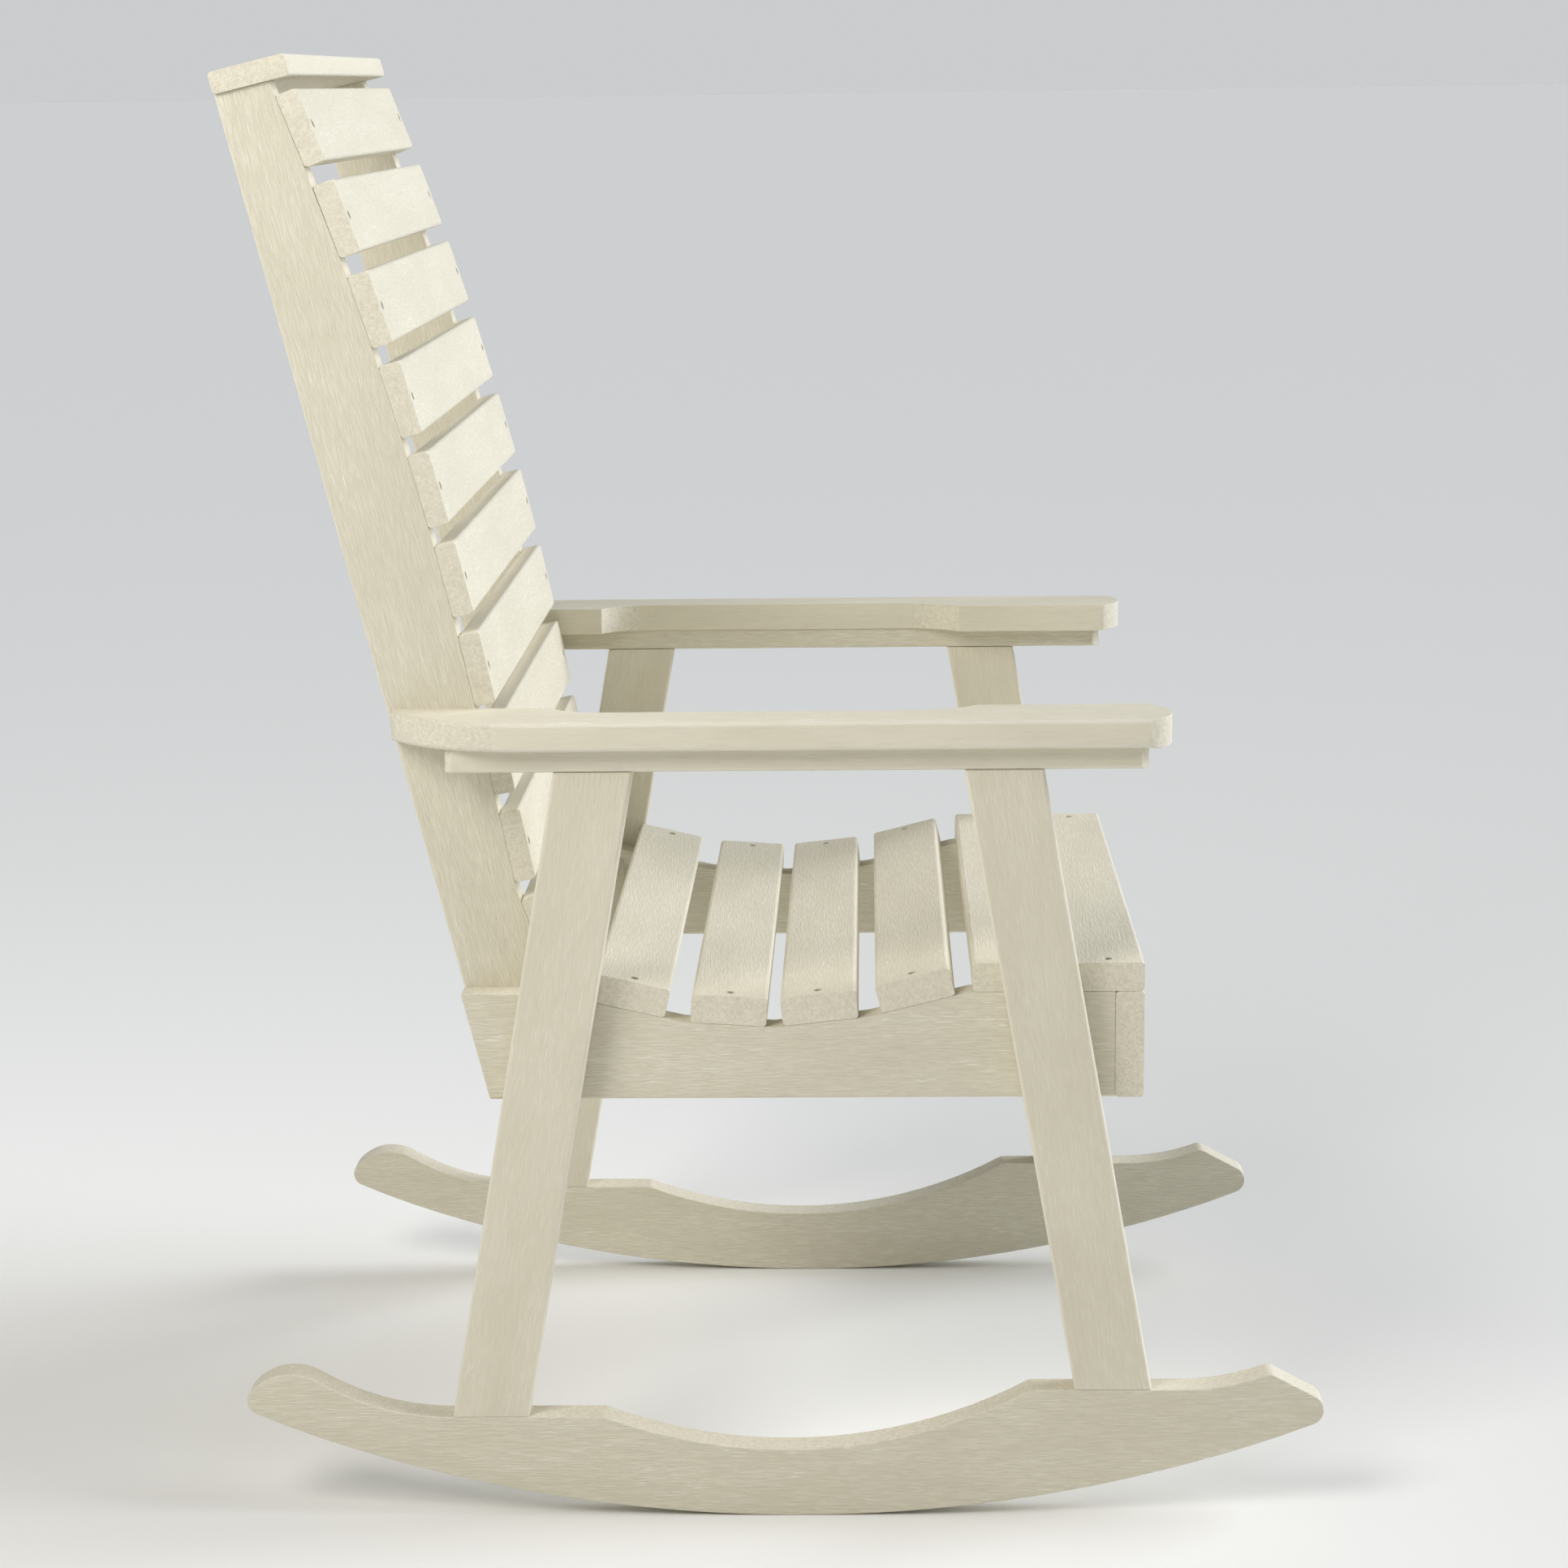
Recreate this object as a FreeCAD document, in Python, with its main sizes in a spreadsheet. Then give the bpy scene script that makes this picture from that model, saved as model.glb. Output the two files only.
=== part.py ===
import FreeCAD, Part
import Sketcher
import math
import os
import re

# Outdoor rocking chair in wood-grained plastic lumber.
# Frame: +Z is up, the sitter faces -Y and the sitter's right hand is at -X.
# The origin is on the floor, under the middle of the chair's overall length and width.
# Lengths are in millimetres and angles in degrees. A "place" is a distance along Y
# from the origin, counted forwards or backwards as its comment says.

SIZES = {
    # Width over the outer faces of the legs, and the thickness of each kind of board
    "frame_width": 594.0,
    "leg_thickness": 25.0,
    "rail_thickness": 23.0,
    "stile_thickness": 23.0,
    "apron_thickness": 22.9,
    "arm_thickness": 23.5,
    "seat_slat_thickness": 23.4,
    "back_slat_thickness": 17.0,
    # Rounded edges of the moulded boards, and the eased corners of the cut ones
    "board_edge_radius": 3.0,
    "arm_edge_radius": 4.5,
    "rocker_edge_radius": 1.2,
    "rocker_corner_radius": 9.0,
    "tail_corner_radius": 11.62,
    "nose_corner_radius": 13.04,
    # Rockers
    "rocker_radius": 1070.0,
    "rocker_low_place": 12.0,
    "standing_flat_length": 210.0,
    "rear_seat_height": 84.5,
    "front_seat_height": 106.5,
    "foot_margin": 1.5,
    "dip_radius": 400.0,
    "dip_height": 56.5,
    "dip_place": 4.0,
    "tail_curve_radius": 203.6,
    "tail_curve_angle": 31.6,
    "tail_top_radius": 42.0,
    "nose_flat_margin": 22.8,
    "nose_curve_radius": 195.0,
    "nose_curve_angle": 21.5,
    "nose_slope_angle": 28.5,
    # Legs
    "leg_width": 60.5,
    "leg_top_height": 611.5,
    "rear_foot_place": 234.0,
    "rear_leg_lean": 10.1,
    "front_foot_place": 263.5,
    "front_leg_lean": 9.8,
    # Rails and rests for the arms
    "arm_rail_height": 18.5,
    "arm_rail_front_reach": 80.0,
    "arm_rail_rear_reach": 83.5,
    "arm_rail_chamfer": 6.0,
    "arm_overhang": 15.0,
    "arm_front_reach": 20.5,
    "arm_rear_reach": 45.0,
    "arm_scoop_depth": 21.0,
    "arm_scoop_front_run": 55.0,
    "arm_scoop_rear_run": 38.0,
    "arm_scoop_front_place": 156.0,
    "arm_scoop_rear_place": 175.0,
    "arm_sweep_length": 98.0,
    "arm_sweep_width": 51.0,
    "arm_corner_length": 22.0,
    "arm_corner_width": 19.0,
    "arm_corner_setback": 4.0,
    "arm_corner_radius": 24.0,
    "arm_nose_length": 20.0,
    "arm_nose_radius": 40.0,
    # Seat
    "rail_bottom_height": 342.0,
    "rail_height": 86.5,
    "seat_front_place": 287.5,
    "front_slat_width": 135.0,
    "seat_slat_width": 60.0,
    "scoop_depth": 28.0,
    "scoop_front_margin": 2.5,
    "scoop_rear_margin": 7.5,
    "cross_rail_height": 75.0,
    # Back
    "stile_foot_place": 229.8,
    "stile_width": 70.5,
    "stile_length": 805.0,
    "back_lean": 13.5,
    "back_slat_width": 57.5,
    "back_slat_gap": 14.3,
    "cap_gap": 11.5,
    "cap_overhang": 3.0,
    # Screws
    "screw_radius": 2.0,
    "screw_tip_radius": 0.5,
    "screw_tip_length": 5.0,
    "screw_head_radius": 3.0,
    "screw_head_height": 3.0,
    "screw_sunk_depth": 1.0,
    "screw_clearance": 0.3,
    "cut_overrun": 5.0,
    "slat_screw_length": 45.0,
    "frame_screw_length": 40.0,
    "long_screw_length": 62.0,
    "foot_screw_length": 80.0,
    "foot_screw_sunk_depth": 22.0,
    "seat_screw_inset": 13.0,
    "front_slat_screw_spacing": 78.0,
    "leg_screw_spacing": 26.0,
    "rail_screw_spacing": 40.0,
    "cap_screw_spacing": 20.0,
    "arm_screw_spacing": 150.0,
    "frame_screw_inset": 14.0,
}

# Corners of the seat rail's scooped top, from its front end to its rear end
SCOOP_LENGTH_SHARES = (0.0, 0.245, 0.474, 0.695, 1.0)
SCOOP_DEPTH_SHARES = (0.0, 0.714, 1.0, 0.836, 0.0)
# How far along its flat each scooped slat is centred, from the front one to the rear one
SEAT_SLAT_SHARES = (0.5, 0.5, 0.5, 0.44)
# Width of the stile at the corners of its front edge, from the top down, as shares of its board
STILE_WIDTH_SHARES = (0.616, 0.753, 0.855, 0.928, 0.973, 0.996, 0.991, 0.963, 0.908, 0.871, 0.973)
BACK_SLAT_COUNT = len(STILE_WIDTH_SHARES) - 1
SEAT_SLAT_NAMES = ("seat_slat_2", "seat_slat_3", "seat_slat_4", "seat_slat_5")
SIDES = {"right": -1, "left": 1}
# Two directions count as parallel when they are less than a degree apart
NEARLY_PARALLEL = math.cos(math.radians(1))

doc = FreeCAD.newDocument("RockingChair")
sheet = doc.addObject("Spreadsheet::Sheet", "Sizes")
boards = {}
holes = {}
fasteners = {}


def fill_sheet():
    for row, (alias, value) in enumerate(SIZES.items(), start=1):
        sheet.set(f"A{row}", alias)
        sheet.set(f"B{row}", str(value))
        sheet.setAlias(f"B{row}", alias)
    doc.recompute()


def size(alias):
    return float(sheet.get(alias))


def on_sheet(formula):
    """The formula with each size's name pointing at its cell."""
    return re.sub(r"[a-z]+(?:_[a-z]+)+", lambda word: "Sizes." + word.group(0), formula)


def value(formula):
    result = sheet.evalExpression(on_sheet(formula))
    return float(getattr(result, "Value", result))


# Shared places, as formulas of the sizes; the sketches are bound to them

HALF_WIDTH = "(frame_width / 2)"
RAIL_OUTER = f"({HALF_WIDTH} - leg_thickness)"
RAIL_INNER = f"({RAIL_OUTER} - rail_thickness)"
STILE_INNER = f"({RAIL_INNER} - stile_thickness)"
RAIL_TOP = "(rail_bottom_height + rail_height)"
ARM_BOTTOM = "(leg_top_height + arm_rail_height)"
REAR_LEG_TOP = "(rear_foot_place - (leg_top_height - rear_seat_height) * tan(rear_leg_lean))"
FRONT_LEG_TOP = "(-front_foot_place + (leg_top_height - front_seat_height) * tan(front_leg_lean))"
REAR_HALF_LEG = "(leg_width / 2 / cos(rear_leg_lean))"
FRONT_HALF_LEG = "(leg_width / 2 / cos(front_leg_lean))"
RUNNING_CENTRE = "(sqrt(rocker_radius ^ 2 - (standing_flat_length / 2) ^ 2))"
ARM_RAIL_REAR = f"({REAR_LEG_TOP} + {REAR_HALF_LEG} + arm_rail_rear_reach)"
ARM_RAIL_FRONT = f"({FRONT_LEG_TOP} - {FRONT_HALF_LEG} - arm_rail_front_reach)"
SLAT_PITCH = "(back_slat_width + back_slat_gap)"


def up_the_stile(up, out):
    """Y and Z of the point that lies up the stile's rear edge and out square to it."""
    y = f"(stile_foot_place + ({up}) * sin(back_lean) - ({out}) * cos(back_lean))"
    z = f"(rail_bottom_height + ({up}) * cos(back_lean) + ({out}) * sin(back_lean))"
    return y, z


def stile_corner(index):
    """A corner of the stile's front edge, counted from the top."""
    up = "stile_length"
    if index:
        up = f"stile_length - cap_gap + back_slat_gap / 2 - {index} * {SLAT_PITCH}"
    return up_the_stile(up, f"stile_width * {STILE_WIDTH_SHARES[index]}")


STILE_FRONT = stile_corner(BACK_SLAT_COUNT)[0]
SCOOP_FRONT = "(-seat_front_place + front_slat_width + scoop_front_margin)"
SCOOP_REAR = f"({STILE_FRONT} - scoop_rear_margin)"


def scoop_corner(index):
    y = f"({SCOOP_FRONT} + ({SCOOP_REAR} - {SCOOP_FRONT}) * {SCOOP_LENGTH_SHARES[index]})"
    z = f"({RAIL_TOP} - scoop_depth * {SCOOP_DEPTH_SHARES[index]})"
    return y, z


# Sketches and boards

def arc_between(start, end, radius, turn):
    """The anticlockwise arc of that radius; from start to end it bends left (1) or right (-1)."""
    chord = end - start
    left = FreeCAD.Vector(-chord.y, chord.x, 0).normalize()
    drop = math.sqrt(max(radius ** 2 - (chord.Length / 2) ** 2, 0))
    crown = (start + end) / 2 - left * ((radius - drop) * turn)
    if turn < 0:
        start, end = end, start
    return Part.Arc(start, crown, end)


def sketch_outline(body, plane, corners):
    """A closed outline on one of the body's origin planes.
    Each corner is (first, second, radius, turn): the edge that leaves it is an arc of that
    radius bending left or right, or a straight line where the radius is None."""
    sketch = body.newObject("Sketcher::SketchObject", body.Name + "_outline")
    origin_plane = next(f for f in body.Origin.OriginFeatures if f.Role == plane)
    sketch.AttachmentSupport = (origin_plane, "")
    sketch.MapMode = "FlatFace"
    points = [FreeCAD.Vector(value(corner[0]), value(corner[1]), 0) for corner in corners]
    count = len(corners)
    # An arc that bends right is drawn from its far end, so its near end is its second point
    near_ends = [2 if corner[3] < 0 else 1 for corner in corners]
    for index, corner in enumerate(corners):
        start = points[index]
        end = points[(index + 1) % count]
        if corner[2] is None:
            sketch.addGeometry(Part.LineSegment(start, end), False)
        else:
            sketch.addGeometry(arc_between(start, end, value(corner[2]), corner[3]), False)
    for index, corner in enumerate(corners):
        following = (index + 1) % count
        sketch.addConstraint(Sketcher.Constraint(
            "Coincident", index, 3 - near_ends[index], following, near_ends[following]))
        bind(sketch, ("DistanceX", index, near_ends[index], points[index].x), corner[0])
        bind(sketch, ("DistanceY", index, near_ends[index], points[index].y), corner[1])
        if corner[2] is not None:
            bind(sketch, ("Radius", index, value(corner[2])), corner[2])
    return sketch


def bind(sketch, constraint, formula):
    """A dimension of the sketch that follows its formula."""
    row = sketch.addConstraint(Sketcher.Constraint(*constraint))
    sketch.setExpression(f"Constraints[{row}]", on_sheet(formula))


def board(label, plane, corners, thickness, place):
    """A board padded from its outline. Its place is a formula along the pad's direction."""
    body = doc.addObject("PartDesign::Body", label + "_board")
    sketch = sketch_outline(body, plane, corners)
    pad = body.newObject("PartDesign::Pad", body.Name + "_pad")
    pad.Profile = sketch
    pad.setExpression("Length", on_sheet(thickness))
    axis = {"YZ_Plane": "x", "XY_Plane": "z"}[plane]
    body.setExpression(f"Placement.Base.{axis}", on_sheet(place))
    boards[label] = body
    holes[label] = []
    doc.recompute()
    return body


def round_edges(body, radius, wanted):
    """Rounds the edges of the body's last feature that pass the test."""
    base = body.Tip
    names = [f"Edge{number}" for number, edge in enumerate(base.Shape.Edges, start=1) if wanted(edge)]
    fillet = body.newObject("PartDesign::Fillet", body.Name + "_rounding")
    fillet.Base = (base, names)
    fillet.setExpression("Radius", on_sheet(radius))
    doc.recompute()


def ends(edge):
    return edge.Vertexes[0].Point, edge.Vertexes[-1].Point


def runs_along(edge, direction):
    start, end = ends(edge)
    run = end - start
    return run.Length > 0 and abs(run.normalize().dot(direction)) > NEARLY_PARALLEL


# Rounded rectangle of the moulded boards that run across the chair

def moulded_section(width, thickness, radius):
    """Corners of a section that is centred across the width and rises from zero."""
    half = f"({width}) / 2"
    return [
        (f"{half}", f"{radius}", None, 0),
        (f"{half}", f"({thickness}) - ({radius})", radius, 1),
        (f"{half} - ({radius})", f"{thickness}", None, 0),
        (f"-({half} - ({radius}))", f"{thickness}", radius, 1),
        (f"-({half})", f"({thickness}) - ({radius})", None, 0),
        (f"-({half})", f"{radius}", radius, 1),
        (f"-({half} - ({radius}))", "0", None, 0),
        (f"{half} - ({radius})", "0", radius, 1),
    ]


def cross_board(label, width, thickness, length, y, z, tilt):
    """A moulded board across the chair whose underside's middle is at y, z, tilted about X."""
    section = moulded_section(width, thickness, "board_edge_radius")
    body = board(label, "YZ_Plane", section, length, f"-({length}) / 2")
    turn = FreeCAD.Rotation(FreeCAD.Vector(1, 0, 0), value(tilt))
    body.Placement = FreeCAD.Placement(body.Placement.Base, turn)
    body.setExpression("Placement.Base.y", on_sheet(y))
    body.setExpression("Placement.Base.z", on_sheet(z))
    body.setExpression("Placement.Rotation.Angle", on_sheet(tilt))


# Screws: each has its own hole through the boards that it joins

def screw(group, joined, mouth, into, length, sunk="screw_sunk_depth"):
    """A screw whose hole opens at mouth and runs along into, through the joined boards."""
    into = FreeCAD.Vector(into).normalize()
    turn = FreeCAD.Rotation(FreeCAD.Vector(0, 0, 1), into)
    number = sum(len(members) for members in fasteners.values()) + 1
    sunk_depth = value(sunk)
    seat = mouth + into * sunk_depth

    def round_bar(name, radius, height, base):
        bar = doc.addObject("Part::Cylinder", f"{name}_{number}")
        bar.setExpression("Radius", on_sheet(radius))
        bar.setExpression("Height", on_sheet(height))
        bar.Placement = FreeCAD.Placement(base, turn)
        return bar

    head = round_bar("screw_head", "screw_head_radius", "screw_head_height", seat)
    shank = round_bar("screw_shank", "screw_radius", f"({length}) - screw_tip_length", seat)
    tip = doc.addObject("Part::Cone", f"screw_tip_{number}")
    tip.setExpression("Radius1", on_sheet("screw_radius"))
    tip.setExpression("Radius2", on_sheet("screw_tip_radius"))
    tip.setExpression("Height", on_sheet("screw_tip_length"))
    tip_start = value(length) - size("screw_tip_length")
    tip.Placement = FreeCAD.Placement(seat + into * tip_start, turn)
    whole = doc.addObject("Part::MultiFuse", f"screw_{number}")
    whole.Shapes = [head, shank, tip]
    bore = round_bar("bore", "screw_radius + screw_clearance", f"({length}) + screw_clearance", seat)
    recess = round_bar("recess", "screw_head_radius + screw_clearance",
                       f"cut_overrun + ({sunk}) + screw_head_height",
                       mouth - into * size("cut_overrun"))
    hole = doc.addObject("Part::Fuse", f"hole_{number}")
    hole.Base = bore
    hole.Tool = recess
    fasteners.setdefault(group, []).append(whole)
    for label in joined:
        holes[label].append(hole)


# Rockers and legs

def rocker_corners():
    """The rocker's side outline, from the dip rearwards, round the tail and along the floor.
    The running curve is cut flat where the empty chair stands level."""
    tail_start = f"(rear_foot_place + {REAR_HALF_LEG} + foot_margin)"
    tail_bend = (f"({tail_start} + tail_curve_radius * sin(tail_curve_angle))",
                 "(rear_seat_height + tail_curve_radius * (1 - cos(tail_curve_angle)))")
    tail_centre = (f"({tail_bend[0]} + tail_top_radius * sin(tail_curve_angle))",
                   f"({tail_bend[1]} - tail_top_radius * cos(tail_curve_angle))")
    # The tail's round end stops where it meets the running curve
    span_y = f"({tail_centre[0]} + rocker_low_place)"
    span_z = f"({RUNNING_CENTRE} - {tail_centre[1]})"
    span = f"sqrt({span_y} ^ 2 + {span_z} ^ 2)"
    back_off = f"((tail_top_radius ^ 2 - rocker_radius ^ 2 + {span} ^ 2) / (2 * {span}))"
    out = f"sqrt(tail_top_radius ^ 2 - {back_off} ^ 2)"
    tail_foot = (f"({tail_centre[0]} + ({span_z} * {out} - {span_y} * {back_off}) / {span})",
                 f"({tail_centre[1]} + ({span_y} * {out} + {span_z} * {back_off}) / {span})")
    nose_start = f"(-front_foot_place - {FRONT_HALF_LEG} - nose_flat_margin)"
    nose_top = (f"({nose_start} - nose_curve_radius * sin(nose_curve_angle))",
                "(front_seat_height + nose_curve_radius * (1 - cos(nose_curve_angle)))")
    # The sloping cut of the nose meets the running curve where the line from the nose's top,
    # seen from the curve's centre, leaves its circle
    drop = f"({RUNNING_CENTRE} - {nose_top[1]})"
    reach = f"(-{nose_top[0]} - rocker_low_place)"
    along = f"({reach} * cos(nose_slope_angle) + {drop} * sin(nose_slope_angle))"
    off = f"({drop} * cos(nose_slope_angle) - {reach} * sin(nose_slope_angle))"
    slide = f"(sqrt(rocker_radius ^ 2 - {off} ^ 2) - {along})"
    nose_tip = (f"({nose_top[0]} - {slide} * cos(nose_slope_angle))",
                f"({nose_top[1]} - {slide} * sin(nose_slope_angle))")
    dip_centre = "(dip_height + dip_radius)"
    dip_rear = f"(-dip_place + sqrt(dip_radius ^ 2 - ({dip_centre} - rear_seat_height) ^ 2))"
    dip_front = f"(-dip_place - sqrt(dip_radius ^ 2 - ({dip_centre} - front_seat_height) ^ 2))"
    return [
        (dip_rear, "rear_seat_height", None, 0),
        (tail_start, "rear_seat_height", "tail_curve_radius", 1),
        (tail_bend[0], tail_bend[1], "tail_top_radius", -1),
        (tail_foot[0], tail_foot[1], "rocker_radius", -1),
        ("(-rocker_low_place + standing_flat_length / 2)", "0", None, 0),
        ("(-rocker_low_place - standing_flat_length / 2)", "0", "rocker_radius", -1),
        (nose_tip[0], nose_tip[1], None, 0),
        (nose_top[0], nose_top[1], "nose_curve_radius", 1),
        (nose_start, "front_seat_height", None, 0),
        (dip_front, "front_seat_height", "dip_radius", 1),
    ]


def make_rocker(side):
    label = f"{side}_rocker"
    place = HALF_WIDTH + " - leg_thickness" if side == "left" else f"-{HALF_WIDTH}"
    corners = rocker_corners()
    body = board(label, "YZ_Plane", corners, "leg_thickness", place)
    across = FreeCAD.Vector(1, 0, 0)

    def at_corner(edge, number):
        start = ends(edge)[0]
        gap_y = start.y - value(corners[number][0])
        gap_z = start.z - value(corners[number][1])
        return runs_along(edge, across) and math.hypot(gap_y, gap_z) < size("rocker_edge_radius")

    def on_floor(edge):
        return all(end.z < size("rocker_edge_radius") for end in ends(edge))

    round_edges(body, "tail_corner_radius", lambda edge: at_corner(edge, 3))
    round_edges(body, "nose_corner_radius", lambda edge: at_corner(edge, 6))
    round_edges(body, "rocker_corner_radius", lambda edge: at_corner(edge, 0) or at_corner(edge, 9)
                or at_corner(edge, 7))
    # The rounding of the running curve's edges carries on along the standing flat
    round_edges(body, "rocker_edge_radius",
                lambda edge: not runs_along(edge, across) and not on_floor(edge))


def make_leg(side, end):
    """A leg between the rocker's flat and the arm rail, leaning in towards its top."""
    place = HALF_WIDTH + " - leg_thickness" if side == "left" else f"-{HALF_WIDTH}"
    if end == "rear":
        foot, foot_height = "rear_foot_place", "rear_seat_height"
        top, half = REAR_LEG_TOP, REAR_HALF_LEG
    else:
        foot, foot_height = "-front_foot_place", "front_seat_height"
        top, half = FRONT_LEG_TOP, FRONT_HALF_LEG
    corners = [
        (f"{foot} - {half}", foot_height, None, 0),
        (f"{foot} + {half}", foot_height, None, 0),
        (f"{top} + {half}", "leg_top_height", None, 0),
        (f"{top} - {half}", "leg_top_height", None, 0),
    ]
    body = board(f"{side}_{end}_leg", "YZ_Plane", corners, "leg_thickness", place)
    run = FreeCAD.Vector(0, value(top) - value(foot), size("leg_top_height") - value(foot_height))
    run.normalize()
    round_edges(body, "board_edge_radius", lambda edge: runs_along(edge, run))


# Arms

def make_arm_rail(side):
    """The batten on top of the legs, with its upright corners cut off."""
    sign = SIDES[side]
    outer = f"{sign} * {HALF_WIDTH}"
    inner = f"{sign} * ({HALF_WIDTH} - leg_thickness)"
    cut = f"{sign} * arm_rail_chamfer"
    corners = [
        (f"{outer} - {cut}", ARM_RAIL_FRONT, None, 0),
        (f"{outer}", f"{ARM_RAIL_FRONT} + arm_rail_chamfer", None, 0),
        (f"{outer}", f"{ARM_RAIL_REAR} - arm_rail_chamfer", None, 0),
        (f"{outer} - {cut}", ARM_RAIL_REAR, None, 0),
        (f"{inner} + {cut}", ARM_RAIL_REAR, None, 0),
        (f"{inner}", f"{ARM_RAIL_REAR} - arm_rail_chamfer", None, 0),
        (f"{inner}", f"{ARM_RAIL_FRONT} + arm_rail_chamfer", None, 0),
        (f"{inner} + {cut}", ARM_RAIL_FRONT, None, 0),
    ]
    body = board(f"{side}_arm_rail", "XY_Plane", corners, "arm_rail_height", "leg_top_height")
    along = FreeCAD.Vector(0, 1, 0)
    round_edges(body, "board_edge_radius",
                lambda edge: runs_along(edge, along) and edge.CenterOfMass.z < size("board_edge_radius"))


def make_armrest(side):
    """The armrest's plan: swept rear corner, rounded front, scooped inner edge."""
    sign = SIDES[side]
    outer = f"{sign} * ({HALF_WIDTH} + arm_overhang)"
    inner = f"{sign} * {RAIL_INNER}"
    scooped = f"({inner} + {sign} * arm_scoop_depth)"
    front = f"({ARM_RAIL_FRONT} - arm_front_reach)"
    rear = f"({ARM_RAIL_REAR} + arm_rear_reach)"
    # Each end of the scoop curves out of its straight part to a corner at the inner edge
    bend = "((arm_scoop_{0}_run ^ 2 + arm_scoop_depth ^ 2) / (2 * arm_scoop_depth))"
    # The rear sweep leaves the outer edge without a corner
    sweep = "((arm_sweep_length ^ 2 + arm_sweep_width ^ 2) / (2 * arm_sweep_width))"
    corners = [
        (inner, rear, None, 0),
        (f"{outer} - {sign} * arm_sweep_width", rear, sweep, -sign),
        (outer, f"{rear} - arm_sweep_length", None, 0),
        (outer, f"{front} + arm_corner_length", "arm_corner_radius", -sign),
        (f"{outer} - {sign} * arm_corner_width", f"{front} + arm_corner_setback",
         "arm_nose_radius", -sign),
        (inner, f"{front} + arm_nose_length", None, 0),
        (inner, "-arm_scoop_front_place", bend.format("front"), sign),
        (scooped, "-arm_scoop_front_place + arm_scoop_front_run", None, 0),
        (scooped, "arm_scoop_rear_place - arm_scoop_rear_run", bend.format("rear"), sign),
        (inner, "arm_scoop_rear_place", None, 0),
    ]
    body = board(f"{side}_armrest", "XY_Plane", corners, "arm_thickness", ARM_BOTTOM)
    along = FreeCAD.Vector(0, 1, 0)
    reach = size("arm_edge_radius")

    def moulded(edge):
        off_outer = abs(edge.CenterOfMass.x - value(outer))
        return runs_along(edge, along) and off_outer < reach

    round_edges(body, "arm_edge_radius", moulded)


# Seat

def make_seat_rail(side):
    """A seat side rail: scooped top, square front end, rear end cut to the back's lean."""
    place = RAIL_INNER if side == "left" else f"-{RAIL_OUTER}"
    front = "(-seat_front_place + apron_thickness)"
    rear_top = "(stile_foot_place + rail_height * tan(back_lean))"
    corners = [
        (front, "rail_bottom_height", None, 0),
        ("stile_foot_place", "rail_bottom_height", None, 0),
        (rear_top, RAIL_TOP, None, 0),
    ]
    for index in reversed(range(len(SCOOP_LENGTH_SHARES))):
        corners.append((*scoop_corner(index), None, 0))
    corners.append((front, RAIL_TOP, None, 0))
    body = board(f"{side}_seat_rail", "YZ_Plane", corners, "rail_thickness", place)
    along = FreeCAD.Vector(0, 1, 0)
    lowest = size("rail_bottom_height") + size("board_edge_radius")
    round_edges(body, "board_edge_radius",
                lambda edge: runs_along(edge, along) and edge.CenterOfMass.z < lowest)


def make_apron():
    cross_board("front_apron", "rail_height", "apron_thickness", f"2 * {RAIL_OUTER}",
                "-(seat_front_place - apron_thickness)", "rail_bottom_height + rail_height / 2",
                "90 deg")


def make_cross_rail():
    """The rear rail between the side rails, against the stiles' front edges."""
    cross_board("rear_cross_rail", "cross_rail_height", "apron_thickness", f"2 * {RAIL_INNER}",
                STILE_FRONT, "rail_bottom_height + cross_rail_height / 2", "90 deg")


def make_seat_slat(name, width, y, z, tilt, screw_steps):
    """A slat across the seat, with its screws in a row at each end."""
    cross_board(name, width, "seat_slat_thickness", f"2 * {RAIL_OUTER}", y, z, tilt)
    turn = math.radians(value(tilt))
    upward = FreeCAD.Vector(0, -math.sin(turn), math.cos(turn))
    rearward = FreeCAD.Vector(0, math.cos(turn), math.sin(turn))
    top = FreeCAD.Vector(0, value(y), value(z)) + upward * size("seat_slat_thickness")
    for side, sign in SIDES.items():
        end = FreeCAD.Vector(sign * value(f"{RAIL_OUTER} - seat_screw_inset"), 0, 0)
        for step in screw_steps:
            mouth = top + end + rearward * (step * size("front_slat_screw_spacing"))
            screw("seat_slat_screws", (name, f"{side}_seat_rail"), mouth, -upward,
                  "slat_screw_length")


def make_seat_slats():
    make_seat_slat("seat_slat_1", "front_slat_width", "-seat_front_place + front_slat_width / 2",
                   RAIL_TOP, "0 deg", (-0.5, 0.5))
    for index, name in enumerate(SEAT_SLAT_NAMES):
        front_y, front_z = scoop_corner(index)
        rear_y, rear_z = scoop_corner(index + 1)
        share = SEAT_SLAT_SHARES[index]
        make_seat_slat(name, "seat_slat_width", f"{front_y} + ({rear_y} - {front_y}) * {share}",
                       f"{front_z} + ({rear_z} - {front_z}) * {share}",
                       f"atan2({rear_z} - {front_z}; {rear_y} - {front_y})", (0,))


# Back

def make_stile(side):
    """A back stile: straight rear edge, front edge cut in flats, one for each back slat."""
    place = STILE_INNER if side == "left" else f"-{RAIL_INNER}"
    top_rear = up_the_stile("stile_length", "0")
    corners = [(STILE_FRONT, "rail_bottom_height", None, 0),
               ("stile_foot_place", "rail_bottom_height", None, 0),
               (*top_rear, None, 0)]
    for index in range(len(STILE_WIDTH_SHARES)):
        corners.append((*stile_corner(index), None, 0))
    body = board(f"{side}_back_stile", "YZ_Plane", corners, "stile_thickness", place)
    lean = math.radians(size("back_lean"))
    along = FreeCAD.Vector(0, math.sin(lean), math.cos(lean))
    half = size("stile_length") / 2
    round_edges(body, "board_edge_radius",
                lambda edge: runs_along(edge, along) and edge.Length > half)


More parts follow.
